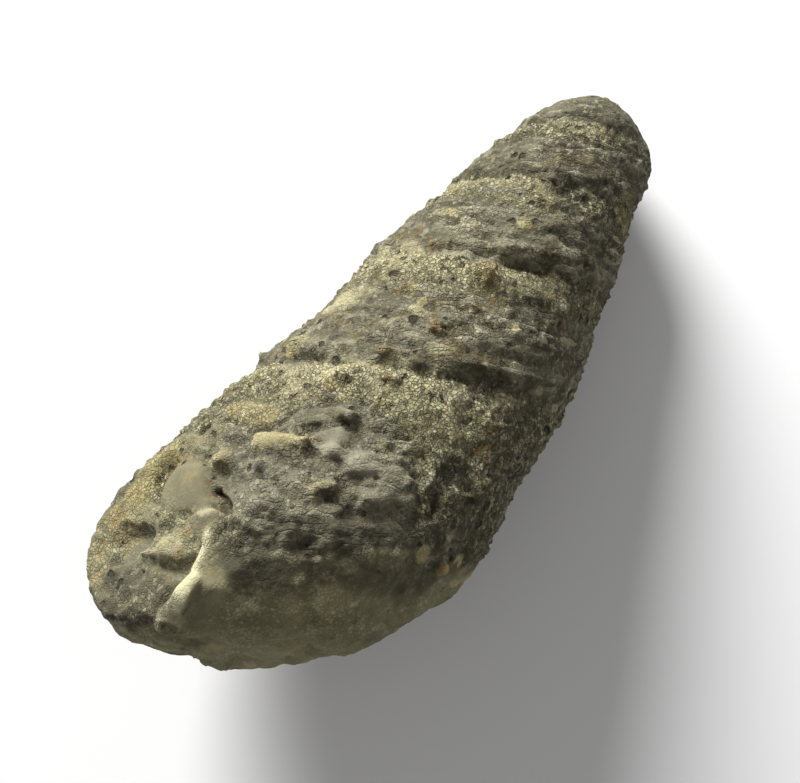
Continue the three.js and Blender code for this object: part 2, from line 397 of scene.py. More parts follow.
# Hollows and swells: distance, angle, reach, height.
PRESSES = [
    (79, 47, 3, 0.4), (80.9, 36.1, 1.6, 0.2),
    (83.9, 47.6, 1.2, 0.6), (82.9, 43.4, 0.9, 0.5), (82.3, 53, 0.9, 0.45), (82.3, 40.2, 0.8, 0.4),
    (85.2, 56.4, 0.7, 0.5), (86.8, 62, 1.6, 0.35), (88.2, 50, 1.6, 0.4), (86.4, 45.8, 0.45, -0.8),
    (86.9, 36.8, 0.4, -0.6), (82.6, 49, 0.4, -0.5), (83.4, 52, 0.4, -0.5),
    (76.3, 15.4, 0.35, -0.5), (72.3, 1.7, 0.5, -0.45), (75, 2.7, 1.4, -0.4), (73.6, 42, 0.9, -0.5),
    (67.7, -3.7, 0.7, -0.7), (66, 11.1, 0.5, -0.6), (74.2, 57.3, 0.9, -0.9),
    (56, -12.8, 0.6, -0.45), (51, -6.5, 0.5, -0.4), (45.4, 6.2, 0.45, -0.4), (43.6, 7.5, 0.45, -0.4),
    (48, -8, 2.2, -0.5), (46.6, -20, 2.4, -0.5),
    (60, 82, 9, -0.9), (64.5, -88, 9, -1.1), (50, -92, 7, 0.5), (39, -92, 7, 0.5),
    (28, 75, 5, -0.6), (29, -80, 5, 0.5), (62, 178, 5, 0.4),
    (67.5, 172, 4.5, 1), (67, -168, 4.5, 0.9),
    (85, -13.5, 0.8, -0.35), (83.4, -44.3, 0.9, -0.35), (86.5, 0.2, 0.7, -0.3), (79, -45, 0.8, -0.35),
    (88.2, 12, 4.5, 0.2), (38.5, -14, 2, -0.4), (50.6, -24, 2.4, -0.45),
    (59, -22, 2.4, -0.4), (67.3, -27, 2.2, -0.4),
]

# The window in the matrix of the last whorl where the mould's own smooth surface lies bare.
WINDOW = [
    (75, 41.8), (73.1, 36.6), (71.6, 31), (69.6, 28.1), (67.7, 22.4), (66, 10.9), (66.4, -0.4),
    (66.8, -7.1), (69.2, -15.9), (70.8, -20.7), (72.3, -25.4), (74.7, -21.8), (77.6, -8), (79.7, 4.2),
    (81.3, 16.1), (80.7, 24.4), (79.3, 30.8), (77.8, 39.1),
]

# Grooves (height below 0) and ridges: the path's places, half width, height.
LINES = [
    ([(77.5, 43.2), (78.4, 39.3), (79, 35.2), (79.4, 31.5), (79.9, 27.2), (80.9, 26.4), (81.7, 26.6)],
     0.4, -1.2),
    ([(80, 45), (80.2, 38), (80.3, 31.5)], 0.25, 0.35),
    ([(80.7, 44), (80.9, 38), (80.8, 32)], 0.3, -0.35),
    (WINDOW[1:8], 0.6, 0.2),
    ([(67.9, -9.6), (69.1, -16.5), (70.9, -20.1)], 0.3, -0.6),
    ([(68.3, -7.6), (69.7, -14.5), (71.5, -18.1)], 0.4, 0.3),
    ([(68.8, -20.7), (70, -25.5), (71.3, -27.3)], 0.28, -0.5),
    ([(75.3, -1.8), (73.7, -11.7)], 0.3, -0.45),
    ([(71.8, -7.1), (70.9, -11.6)], 0.2, -0.4),
    ([(82.2, 34), (83.4, 44), (84.6, 56)], 0.4, 0.45),
    ([(82, 39.2), (82.3, 30.3)], 0.3, 0.4),
    ([(89.6, 66), (89.3, 50), (88.9, 28.3), (87.9, 16.6)], 0.6, -0.5),
    ([(47.7, 0.3), (46.7, -12.5), (45.5, -31.9), (43.7, -57.2)], 0.45, -0.5),
    ([(84.6, -16), (84.3, -21)], 0.3, -0.5), ([(83.8, -42), (83.3, -49)], 0.35, -0.5),
    ([(87, 7), (87.2, 3.6)], 0.22, -0.4), ([(77.8, -54.5), (77.4, -58.5)], 0.35, -0.5),
    ([(86, -26), (84.9, -34)], 0.2, -0.3),
    ([(39.2, 8.4), (37.6, -16.8), (35.2, -46.3)], 0.35, -0.25),
]

# Facets: distance, angle, reach, angle and lean of the way it faces, how deep it bites.
FACETS = [
    (79.3, 62, 2.6, 70, 12, 0.45),
    (82.6, 22, 2.6, 20, 22, 0.3),
]

# Smooth skin: distance, angle, reach, how much of the grain goes.
SMOOTH_SKIN = [
    (83.6, 21.5, 2.4, 0.75), (86, 21.5, 2.2, 0.7), (86, 30, 1.8, 0.6),
]

# The dark band between the window and the mud of the base.
DARK_BAND = [
    (80, 31), (79.2, 24), (78.8, 16.3), (77.2, 10.1), (75, 2.2), (73.7, -8.8), (71.9, -23.7),
    (70.3, -38), (71.4, -50.8), (74.5, -51.4), (77.1, -36.7), (79.7, -15.6), (82.4, -3.5), (84.2, 6.4),
    (84.4, 13.6), (83.9, 18.6), (83.4, 22.6), (82.2, 25), (81, 28),
]

TAN = (0.137, 0.125, 0.077)
DULL = (0.093, 0.085, 0.054)
CHALK = (0.449, 0.41, 0.246)
# painted shadow for the undercut below the broken face
UNDERCUT_SHADOW = (0.044, 0.04, 0.026)
PALE = (0.49, 0.445, 0.26)
# painted shade: a dark colour laid where shade falls, on the -Y flank, in valleys and under sutures
PAINTED_SHADE = (0.06, 0.056, 0.036)

# Patches with a clear edge: outline, height, softness of the edge, how calm, colour, strength.
PATCHES = [
    (WINDOW, 0, 0.5, 0, (0.122, 0.116, 0.082), 0.5),
    # the smooth plate on the broken face and the small lens below it
    ([(77.5, 55.7), (77, 48.6), (77.4, 43.2), (78.4, 39.3), (79.2, 34.3), (80.1, 34.7), (81.4, 47.5),
      (81.5, 56.1), (80.1, 61.9), (78.6, 59.9)], 0.5, 0.3, 0.95, TAN, 0.7),
    ([(81.4, 42.4), (80.5, 37.3), (79.9, 32.6), (80.2, 27.9), (81.4, 31.2), (82.4, 34.4)],
     0.35, 0.25, 0.9, DULL, 0.8),
    ([(81.5, 48.5), (81.2, 39.5), (80.2, 34.9), (79.6, 33), (80.1, 32.4), (80.8, 34.5), (81.9, 47.3)],
     0.25, 0.15, 0.7, CHALK, 0.8),
    # the round smooth hollow, grey with painted shade, the pale lumps beside it and the valley behind the
    # lip
    ([(84.2, 73.7), (83.4, 63.9), (83.2, 58.3), (84, 56), (85.2, 58.6), (87.1, 65.1), (86.9, 70.7),
      (85.6, 74.6)], -1, 0.5, 0.95, (0.105, 0.102, 0.072), 0.9),
    ([(85.5, 58.1), (84, 47.7), (83.1, 45.4), (82.7, 40.6), (83.3, 37.1), (84.7, 43.3)],
     0.5, 0.3, 0.5, CHALK, 0.75),
    # the valley's dark colour is painted shade
    ([(85.9, 56.1), (84.7, 38.3), (83.8, 32.8), (83.3, 28), (84.6, 28.1), (87.3, 31.5), (88.8, 37.2),
      (87.4, 36.4), (85.7, 35.3)], -0.8, 0.45, 0.9, PAINTED_SHADE, 0.85),
    # the bare skin outside the broken lip, the lip itself, pale and brightened with painted light, and the
    # undercut below it
    ([(83.6, 22.8), (83.9, 19.4), (84.9, 17.2), (87, 18), (88.3, 22), (88.2, 24.6), (86.3, 22.8),
      (84.9, 22)], 0.4, 0.8, 0.8, (0.15, 0.132, 0.082), 0.8),
    ([(81.3, 28.9), (82.8, 25.7), (83.9, 23.8), (85, 23), (86.5, 23.7), (88.5, 26.1), (89.3, 38),
      (87.2, 32.6), (84.9, 27.6), (82.9, 28.2), (81.8, 30.6)], 0.7, 0.2, 0.6, (0.585, 0.54, 0.34), 0.95),
    # the undercut's dark colour is painted shadow under the overhanging face
    ([(90.6, 80.3), (89, 37.5), (89.2, 31.8), (88.6, 23), (88.7, 19.7), (89.9, 40.9), (90.6, 58.4)],
     -0.25, 0.35, 0.5, UNDERCUT_SHADOW, 0.85),
    # fragments in the window of the last whorl
    ([(73.1, 35.3), (72.2, 29.7), (71.2, 18.4), (71.4, 17.2), (72.2, 19.2), (74.2, 32)],
     0.4, 0.16, 0.7, CREAM, 0.9),
    ([(71, 18.8), (70, 17.2), (69.2, 12.7), (69.4, 9.9), (70, 8.1), (71, 12.1)],
     0.3, 0.3, 0.9, GREY, 0.8),
    ([(71.2, 28.8), (69.4, 27), (67.6, 18.1), (67.6, 12.7), (68.2, 11.7), (70.2, 20.6), (71.7, 24)],
     0.45, 0.25, 0.5, TAN, 0.5),
    ([(71.4, 7.2), (70.2, 5), (69.6, 0), (69.7, -3.7), (70.7, -5.6), (71.7, -2.5), (72.3, 2.5)],
     0.7, 0.6, 0.7, PALE_GREY, 0.8),
    ([(71.6, 17.4), (70.8, 11.3), (70.6, 8), (71.5, 6.9), (71.8, 12.9)], 0.35, 0.2, 0.6, PALE_GREY, 0.8),
    ([(69.9, -4.6), (69, -7.3), (69, -10.6), (70.1, -13.6), (71.1, -11.1), (71.6, -6.5)],
     0.55, 0.5, 0.7, GREY, 0.6),
    ([(72.7, -2.5), (71.2, -9.3), (70.4, -16.8), (70.9, -18.9), (72.5, -12.3), (73.5, -4.6)],
     0.45, 0.3, 0.6, GREY, 0.6),
    # pale slabs above the last suture and beside the window
    ([(66.4, 32.5), (64.9, 31.1), (63.4, 25.6), (62.1, 14.3), (62.3, 12.5), (63.6, 21.7), (65.3, 24.9)],
     0.35, 0.2, 0.6, CREAM, 0.85),
    ([(71.4, 55.9), (70.4, 45.2), (70.1, 33.6), (71.7, 30), (72.6, 37.3), (72.5, 50.3)],
     0.3, 0.3, 0.5, (0.332, 0.27, 0.123), 0.6),
]

# Swells and a hollow of the mud under the broken corner: outline, height, softness of the edge.
MUD_SWELLS = [
    ([(90.4, 73), (89.8, 60), (89.3, 40), (88.9, 22), (93, 20), (93.5, 74)], 1.1, 1.3),
    ([(76.5, -50), (79.5, -40), (82.5, -28), (86, -36), (83, -60), (78, -68),
      (74.5, -62)], 0.6, 1.4),
    ([(87.6, 14), (87.2, 4), (87.6, -8), (93, -8), (93, 14)], -0.6, 1.4),
]

# Stains and painted shade on the skin: distance, angle, reach, colour, strength.
STAINS_AND_SHADE = [
    (77.7, 62.2, 1.3, OCHRE, 0.8), (79.5, 67.1, 1.3, OCHRE, 0.5), (81, 70.5, 1.2, OCHRE, 0.6),
    (83.7, 77.3, 1.6, OCHRE, 0.75), (88.9, 75.1, 1, OCHRE, 0.3), (86.5, 79, 1.3, OCHRE, 0.5),
    (78.1, 41, 0.45, (0.068, 0.035, 0.019), 0.8), (78.7, 37, 0.4, (0.058, 0.03, 0.014), 0.8),
    (75.3, 2.9, 1.5, (0.083, 0.062, 0.028), 0.9), (74.6, -7, 1.3, (0.107, 0.065, 0.033), 0.55),
    (50.3, 3.5, 1.6, OCHRE, 0.6), (25.6, 12, 0.9, OCHRE, 0.6), (83.7, 23.5, 1.1, (0.234, 0.2, 0.109), 0.5),
    (83.9, 47.6, 1.1, (0.409, 0.37, 0.208), 0.7), (85.2, 56, 0.8, CHALK, 0.7),
    # painted shadow along the undercut below the broken face
    (90.3, 62, 1.3, (0.049, 0.045, 0.028), 0.9), (90.2, 50, 1.5, (0.049, 0.045, 0.028), 0.9),
    (89.7, 30, 1.4, (0.058, 0.05, 0.032), 0.85), (88.5, 18, 1.2, (0.098, 0.085, 0.052), 0.6),
    (77.6, 21, 2.2, (0.195, 0.18, 0.128), 0.5), (73.5, -3, 2.4, (0.166, 0.145, 0.099), 0.5),
    (34.5, -62, 2.6, YELLOW, 0.5),
    (52.3, 62, 2.8, PALE, 0.65), (51.6, 44, 2.6, PALE, 0.6), (50.8, 28, 2, PALE, 0.5),
    (67, 37, 2.6, PALE, 0.6), (64.6, 26, 2.2, PALE, 0.55), (62.2, 11, 1.8, PALE, 0.45),
    (79, 70.7, 2.2, YELLOW, 0.65), (81.7, 71.9, 2, YELLOW, 0.6), (84.4, 73.5, 1.8, OCHRE, 0.5),
    # the marks in the shade colour below are painted shade: lower broken face, band under the window,
    # valley
    (77, 66, 2, YELLOW, 0.6), (85.6, 50, 1.6, DULL, 0.5), (86, 60, 1.6, PAINTED_SHADE, 0.5),
    (82.2, 20.5, 2, PAINTED_SHADE, 1), (80.8, 24, 1.6, PAINTED_SHADE, 1), (75.8, 0, 2.6, PAINTED_SHADE, 0.9),
    (78.6, 14, 1.8, PAINTED_SHADE, 0.8), (81.6, 12, 2.4, PAINTED_SHADE, 0.8),
    (76.4, -8, 2, PAINTED_SHADE, 0.6), (57.9, 52.5, 3, PALE, 0.7), (59.3, 0, 1.6, PALE, 0.5),
    (87.6, 66, 2.6, PAINTED_SHADE, 0.8), (87.4, 45, 2.8, PAINTED_SHADE, 0.8), (87.4, 33, 2, PAINTED_SHADE, 0.8),
    # painted shadow under the sutures on the shaded -Y side
    (38.5, -13, 2.6, PAINTED_SHADE, 0.95), (41, -31, 2.2, PAINTED_SHADE, 0.6), (50.4, -24, 3, PAINTED_SHADE, 0.95),
    (51.6, -35.4, 2.4, PAINTED_SHADE, 0.8), (58.8, -20, 2.4, PAINTED_SHADE, 0.8), (59.5, -38.5, 2.6, PAINTED_SHADE, 0.7),
    (67.5, -27, 2.6, PAINTED_SHADE, 0.8), (29.5, -25, 2.2, PAINTED_SHADE, 0.6), (34, -22, 1.6, PAINTED_SHADE, 0.4),
    (80.7, -15.2, 1.8, CREAM, 0.65), (88.5, 18.4, 1.3, CREAM, 0.5),
    (85.2, 4.3, 1.4, (0.137, 0.115, 0.061), 0.5),
    (82.8, -5.1, 1.4, CREAM, 0.5), (81.1, -31.3, 1.6, (0.146, 0.12, 0.062), 0.5),
    (79.8, -52, 3.2, (0.088, 0.08, 0.047), 0.6), (84, -40, 2.2, (0.117, 0.1, 0.057), 0.4),
]


def stroke(spire):
    """Presses, cuts and chips the stone's skin by listed strokes."""
    skin = skin_of(spire)
    points = points_of(spire)
    facing = vectors_of(spire, "normal")
    for distance, degrees, reach, turn, lean, depth in FACETS:
        spot, _ = spot_on(skin, distance, degrees)
        way = facing_way(turn, lean)
        near = smooth(reach - gaps_from(points, spot), 0, reach * 0.25)
        taken = np.clip((points - spot) @ way + depth, 0, depth * 1.6) * near
        points = points - way * taken[:, None]
    distance, angle, _ = coil_place(points)
    ragged = distance + 0.3 * waves(points, 0.8)
    for outline, height, soft in [patch[:3] for patch in PATCHES] + MUD_SWELLS:
        lift = height * within(ragged, angle, outline, soft)
        points = points + facing * lift[:, None]
    for distance, degrees, reach, height in PRESSES:
        spot, _ = spot_on(skin, distance, degrees)
        gap = gaps_from(points, spot) / reach
        lift = height * np.clip(1 - gap**2, 0, None) ** 1.5
        points = points + facing * lift[:, None]
    for path, width, height in LINES:
        spots = [spot_on(skin, *place)[0] for place in path]
        gap, share = near_path(points, spots)
        ends = smooth(share, 0, 0.08) * smooth(1 - share, 0, 0.08)
        ragged = gap + 0.35 * waves(points, 0.9)
        lift = height * np.exp(-((ragged / width) ** 2)) * (0.25 + 0.75 * ends) * (gap < 4 * width)
        points = points + facing * lift[:, None]
    put_points(spire, points)


# ---- covers: what lies where ----

WEIGHT_LEVELS = 20
# Clouds that lift each cover: its name, their size, their depth of detail, how far they lift.
CLOUD_LAYERS = [("crumbly", 1.9, 2, 0.65), ("calm", 1.9, 2, 0.4), ("calm", 1.1, 2, 0.25),
                ("muddy", 6.0, 1, 1.2), ("muddy", 1.9, 2, 0.4)]
SUTURE_CRACK = 0.28  # how deep the cracks of the sutures are
# Cobbles bedded along the coil: cell, how much longer than wide, shift of the pattern.
WINDOW_COBBLES = (1.75, 1.5, 15.0)
SHELL_COBBLES = (1.9, 1.6, 11.0)


def within(distance, angle, outline, soft):
    """Share of each place that lies inside an outline of places, soft at its edge."""
    across = np.degrees(angle) * MM_PER_DEGREE
    corners = [(d, a * MM_PER_DEGREE) for d, a in outline]
    inside = np.zeros(len(distance), bool)
    gap = np.full(len(distance), 1e9)
    for (d0, a0), (d1, a1) in zip(corners, corners[1:] + corners[:1]):
        crosses = (a0 > across) != (a1 > across)
        with np.errstate(divide="ignore", invalid="ignore"):
            edge = (d1 - d0) * (across - a0) / (a1 - a0) + d0
        inside ^= crosses & (distance < edge)
        t = (distance - d0) * (d1 - d0) + (across - a0) * (a1 - a0)
        t = np.clip(t / ((d1 - d0) ** 2 + (a1 - a0) ** 2), 0, 1)
        gap = np.minimum(gap, np.hypot(distance - d0 - t * (d1 - d0), across - a0 - t * (a1 - a0)))
    return smooth(np.where(inside, gap, -gap), -soft, soft)


def covers(points):
    """Shares of sandy matrix, base mud, broken face, and dark band and painted shade at each point."""
    distance, angle, _ = coil_place(points)
    degrees = np.degrees(angle)
    wander = waves(points, 0.33) + 0.5 * waves(points, 0.9)
    phase = whorl_phase(distance, angle) + 0.07 * wander
    part = phase - np.floor(phase)
    start = base_start(angle)

    broken = np.zeros(len(points))
    for turn, lean, offset in BREAKS[:2]:
        depth = (points - APEX) @ facing_way(turn, lean) - offset
        broken = np.maximum(broken, smooth(depth, -0.75, -0.35) * smooth(distance, 72, 75))
    mud = smooth(distance - start + 0.9 * wander, 3.0, 5.5) * (1 - broken)

    band = within(distance + 0.9 * wander, angle, DARK_BAND, 0.9)
    bare = within(distance + 0.5 * wander, angle, WINDOW, 0.35)
    last = smooth(phase, 0.0, 0.06) * smooth(degrees, -75, -55) * smooth(80 - degrees, 0, 10)
    matrix = 1 - smooth(part, MATRIX_PHASE - 0.12, MATRIX_PHASE + 0.04)
    matrix = matrix * (1 - last) + (1 - bare) * last
    matrix *= (1 - mud) * (1 - broken) * (1 - 0.5 * band)

    over_rim = distance - start + 1.6 * wander
    stain = smooth(over_rim, -2.0, 1.2) * (1 - smooth(over_rim, 3.4, 6.0)) * smooth(-degrees, -34, -12)
    stain = np.maximum(stain, band) * (1 - broken)
    # painted shade: darker along each whorl's lower edge, under its overhang just above the suture
    suture_shade = smooth(part, 0.78, 0.97) * smooth(start - distance, 1, 4)
    suture_shade *= 0.35 + 0.5 * np.clip(wander + 0.3, 0, 1)
    return matrix, mud, broken, np.maximum(stain, suture_shade)


def bare_shell(matrix, mud, broken):
    """Share of the mould's own surface, which nothing covers."""
    return np.clip(1 - matrix - mud - broken, 0, 1)


def weight(spire, name, shares):
    """A vertex group with the shares rounded to a few levels."""
    group = spire.vertex_groups.new(name=name)
    levels = np.round(np.clip(shares, 0, 1) * WEIGHT_LEVELS).astype(int)
    for level in range(1, WEIGHT_LEVELS + 1):
        members = np.nonzero(levels == level)[0]
        if len(members):
            group.add(members.tolist(), level / WEIGHT_LEVELS, "REPLACE")


def coil_chart(points):
    """A flat chart of the skin: where each spiral line crosses the top, the way round, and a
    share that fades at the chart's seam and at the tip."""
    distance, angle, _ = coil_place(points)
    crossing = distance * np.exp(-LOG_GROWTH * (angle / (2 * math.pi) + coil_lean(angle)))
    unseamed = smooth(180 - np.abs(np.degrees(angle)), 0, 25) * smooth(distance, 25.5, 29.0)
    return crossing, angle * SLOPE * distance, unseamed


def joint_gap(place):
    """How far a place is from the joint between its cell and the next."""
    gaps = noise.voronoi(place)[0]
    return gaps[1] - gaps[0]


def bedded(points, cell, stretch, shift, bend, chip_height):
    """Heights of cells that lie along the coil."""
    crossing, around, _ = coil_chart(points)
    heights = []
    for u, v in zip(crossing / cell, around / (cell * stretch)):
        u += bend[0] * noise.noise((u * bend[1], v * bend[1], shift))
        heights.append(chip_height(joint_gap((u, v, shift)), u, v))
    return np.array(heights)


def mosaic(points, cell, stretch, shift):
    """Height of packed angular chips: 0 in the joints, about 1 on the chips."""
    def chip(gap, u, v):
        return min(gap * 2.4, 1) * (0.75 + 0.5 * noise.cell((u, v, shift + 3.0)))
    return bedded(points, cell, stretch, shift, (0.35, 1.7), chip)


def cobbles(points, cell, stretch, shift):
    """Height of rounded cobbles, from 0 to about 1."""
    def cobble(gap, u, v):
        return math.sqrt(min(gap * 1.5, 1)) * (0.55 + 0.5 * noise.cell((u * 0.8, v * 0.8, shift)))
    return bedded(points, cell, stretch, shift, (0.3, 1.3), cobble)


def crumbs(points, cell, shift):
    """Height of packed angular crumbs: 0 in the joints, about 1 on top."""
    return np.array([min(joint_gap(point) * 2.2, 1) * (0.7 + 0.6 * noise.cell(point * 0.9))
                     for point in points / cell + shift])


def streaks(points):
    """Fine lines along the coil, from about -1 to 1."""
    crossing, around, _ = coil_chart(points)
    return np.array([noise.noise((u * 1.5, v * 0.16, 7.0)) + 0.6 * noise.noise((u * 3.1, v * 0.3, 9.0))
                     for u, v in zip(crossing, around)])


def grain_left(points, skin):
    """How much of the grain is left at each point, next to the smooth patches."""
    distance, angle, _ = coil_place(points)
    grain = np.ones(len(points))
    for outline, _, soft, calm, _, _ in PATCHES:
        grain *= 1 - calm * within(distance, angle, outline, soft)
    for distance, degrees, reach, share in SMOOTH_SKIN:
        gap = gaps_from(points, spot_on(skin, distance, degrees)[0])
        grain *= 1 - share * smooth(reach - gap, 0, reach * 0.4)
    return grain


def carve_coil(spire):
    """Carves chips, spiral lines and the sutures' cracks, which follow the coil."""
    points = points_of(spire)
    matrix, mud, broken, _ = covers(points)
    distance, angle, _ = coil_place(points)
    shell = bare_shell(matrix, mud, broken)
    bare = within(distance, angle, WINDOW, 0.6)
    patchy = 0.5 + 0.9 * waves(points, 0.22, (5, 1, 2))
    chipped = shell * np.clip(patchy + 0.35, 0.25, 1) + 0.3 * matrix
    lined = (shell + 0.35 * matrix) * (1 - 0.75 * bare)
    crumbly = matrix * (0.6 + 0.4 * patchy) + 0.35 * broken + 0.1 * mud
    lumpy = np.clip(broken + 0.7 * matrix + 0.3 * mud, 0, 1)
    cobbled = shell * (1 - bare) * smooth(distance, 30, 36)
    layers = [
        (0.22, mosaic(points, 1.25, 2.2, 1.0) - 0.6, chipped),
        (0.16, mosaic(points, 0.7, 1.7, 5.0) - 0.6, shell),
        (0.22, streaks(points), lined),
        (0.42, crumbs(points, 0.95, 2.0) - 0.5, crumbly),
        (0.3, crumbs(points, 2.6, 6.0) - 0.5, lumpy),
        (0.6, cobbles(points, *WINDOW_COBBLES) - 0.5, bare),
        (0.3, cobbles(points, *SHELL_COBBLES) - 0.5, cobbled),
    ]
    lift = sum(height * pattern * share for height, pattern, share in layers)
    lift *= grain_left(points, skin_of(spire)) * coil_chart(points)[2]

    phase = whorl_phase(distance, angle)
    off_suture = np.abs(phase - np.round(phase)) * distance * LOG_GROWTH
    open_here = smooth(waves(points, 0.2, (0, 0, 4)), -0.2, 0.2)
    before_base = smooth(base_start(angle) - distance, 0, 3) * smooth(distance, 27, 29)
    lift -= SUTURE_CRACK * np.exp(-((off_suture / 0.3) ** 2)) * open_here * before_base
    put_points(spire, points + vectors_of(spire, "normal") * lift[:, None])
    apply_modifier(spire, "SMOOTH", factor=0.45, iterations=1)


def roughen(spire):
    """Gives each cover its own grain with displaced layers of clouds."""
    points = points_of(spire)
    matrix, mud, broken, stain = covers(points)
    grain = grain_left(points, skin_of(spire))
    crumbly = np.clip(matrix + 0.5 * stain * (1 - matrix) + 0.35 * broken, 0, 1)
    weight(spire, "crumbly", crumbly * grain)
    weight(spire, "calm", np.clip(bare_shell(matrix, mud, broken) + 0.5 * broken + 0.4 * mud, 0, 1) * grain)
    weight(spire, "muddy", mud)
    for group, size, depth, strength in CLOUD_LAYERS:
        texture = bpy.data.textures.new(group, "CLOUDS")
        texture.noise_scale = size * MM
        texture.noise_depth = depth
        apply_modifier(spire, "DISPLACE", texture=texture, texture_coords="OBJECT",
                       vertex_group=group, strength=strength * MM)


def settle(spire):
    """Wears the underside level where the mould rests, and keeps it above the table."""
    points = points_of(spire)
    points[:, 2] = np.maximum(points[:, 2], 0.0)
    put_points(spire, points)


def lay_over(laid, rows, colour, share):
    """Lays a colour over some rows, which hold the colour laid so far and its share."""
    total = laid[rows, 3] * (1 - share) + share
    blend = np.where(total > 0, share / np.maximum(total, 1e-6), 0)[..., None]
    laid[rows, :3] = laid[rows, :3] * (1 - blend) + np.array(colour) * blend
    laid[rows, 3] = total


def laid_colours(points, skin, stones, shares):
    """Colours laid over the covers: sand under the sutures, painted shade, stones, cobbles, patches and
    stains.
    """
    matrix, mud, broken, stain = shares
    distance, angle, _ = coil_place(points)
    degrees = np.degrees(angle)
    phase = whorl_phase(distance, angle)
    below_suture = np.exp(-(((phase - np.floor(phase)) / 0.17) ** 2)) * smooth(degrees, -50, -10)
    # painted shade: the -Y flank, turned from the window light, is darkened, and the pale sand under the
    # sutures is kept mostly to the lit side
    shaded_flank = smooth(-degrees, 12, 48) * smooth(degrees, -110, -70) * smooth(80 - distance, 0, 10)
    creamy = 0.85 * below_suture * matrix * (1 - 0.6 * shaded_flank)
    flank_shade = 0.45 * shaded_flank * (1 - creamy)
    share = (creamy + flank_shade)[:, None]
    laid = np.hstack([(np.outer(creamy, PALE) + np.outer(flank_shade, PAINTED_SHADE)) / np.maximum(share, 1e-6), share])

    tree = KDTree(len(points))
    for i, point in enumerate(points):
        tree.insert(point, i)
    tree.balance()
    for centre, turn, half_sizes, colour in stones:
        for _, i, _ in tree.find_range(Vector(centre), max(half_sizes) + 0.6):
            inside = np.linalg.norm(((points[i] - centre) @ turn) / (half_sizes + 0.12))
            share = float(np.clip((1.1 - inside) / 0.15, 0, 1))
            if share > laid[i, 3]:
                laid[i] = (*colour, share)

    bare = within(distance, angle, WINDOW, 0.6)
    shell = bare_shell(matrix, mud, broken) * (1 - bare)
    cobbled = 0.6 * bare * smooth(cobbles(points, *WINDOW_COBBLES), 0.55, 0.85)
    cobbled += 0.35 * shell * smooth(cobbles(points, *SHELL_COBBLES), 0.6, 0.85)
    ragged = distance + 0.3 * waves(points, 0.8)
    patches = [(colour, strength * within(ragged, angle, outline, soft))
               for outline, _, soft, _, colour, strength in PATCHES]
    patches.insert(1, (PALE_GREY, cobbled * (1 - 0.8 * stain)))
    for colour, share in patches:
        lay_over(laid, slice(None), colour, share)
    for distance, degrees, reach, colour, strength in STAINS_AND_SHADE:
        for place, i, gap in tree.find_range(spot_on(skin, distance, degrees)[0], reach * 1.3):
            ragged = gap + 0.35 * reach * noise.noise(place * (2.2 / reach))
            lay_over(laid, i, colour, strength * smooth(reach - ragged, 0, 0.55 * reach))
    return laid


def keep(spire, name, kind, key, values):
    """Keeps values as an attribute of the skin's points."""
    attribute = spire.data.attributes.new(name, kind, "POINT")
    attribute.data.foreach_set(key, values.ravel())


def colour_covers(spire, stones):
    """Keeps the covers, the colours laid over them and the chart for the finish."""
    points = points_of(spire)
    skin = skin_of(spire)
    shares = covers(points)
    crossing, around, unseamed = coil_chart(points)
    keep(spire, "cover", "FLOAT_COLOR", "color", np.column_stack(shares))
    keep(spire, "stones", "FLOAT_COLOR", "color", laid_colours(points, skin, stones, shares))
    keep(spire, "chart", "FLOAT_VECTOR", "vector", np.column_stack([crossing * MM, around * MM, unseamed]))
    keep(spire, "grain", "FLOAT", "value", grain_left(points, skin))


# ---- finishes ----

# The two ends of each cover's tone, then its rusty and pale blotches.
SHELL_TONES = ((0.083, 0.078, 0.049), (0.156, 0.145, 0.095))
SAND_TONES = ((0.146, 0.135, 0.071), (0.268, 0.25, 0.132))
CLAY_TONES = ((0.185, 0.165, 0.088), (0.283, 0.253, 0.144))
FACE_TONES = ((0.09, 0.084, 0.053), (0.195, 0.181, 0.102))
SHELL_RUST = (0.122, 0.093, 0.043)
SHELL_PALE = (0.229, 0.215, 0.142)
SAND_RUST = (0.137, 0.108, 0.047)
CLAY_RUST = (0.146, 0.122, 0.062)
CLAY_PALE = (0.39, 0.36, 0.217)
FACE_RUST = (0.234, 0.175, 0.076)
# Painted shade towards the base, grey towards the tip, the dark band and painted shade above sutures.
BASE_SHADE = (0.078, 0.073, 0.045)
TIP_GREY = (0.068, 0.066, 0.045)
DARK_BAND_AND_SHADE = (0.049, 0.045, 0.026)
# painted shade in the joints between sand grains, in pits and in hollows
JOINT_SHADE = (0.044, 0.038, 0.021)
PIT_SHADE = (0.03, 0.026, 0.016)
HOLLOW_SHADE = (0.049, 0.044, 0.026)
# Speckles: the tone's range and the colour of the bright ones, then of the dark ones.
FLAKE_SPECKS = ((0.66, 0.94, (0.351, 0.33, 0.222)), (0.34, 0.06, (0.049, 0.042, 0.025)))
GRAVEL_SPECKS = ((0.56, 0.66, (0.4, 0.365, 0.235)), (0.43, 0.35, (0.085, 0.065, 0.034)))
SAND_SPECKS = ((0.62, 0.95, (0.449, 0.42, 0.265)), (0.36, 0.04, (0.034, 0.03, 0.017)))
# Cells or waves of each pattern in a metre.
BROAD_SCALE = 130.0
PATCH_SCALE = 260.0
MIDDLE_SCALE = 480.0
PIT_SCALE = 560.0
GRAVEL_SCALE = 1250.0
FINE_SCALE = 1500.0
SAND_SCALE = 2700.0
FLAKE_STRETCH = (1.0, 0.42, 0.0)
BUMP_DEPTH = 0.0004


def add_node(tree, kind, inputs=None, **settings):
    node = tree.nodes.new("ShaderNode" + kind)
    for name, value in settings.items():
        setattr(node, name, value)
    for key, value in (inputs or {}).items():
        if isinstance(value, bpy.types.NodeSocket):
            tree.links.new(value, node.inputs[key])
        else:
            node.inputs[key].default_value = value
    return node


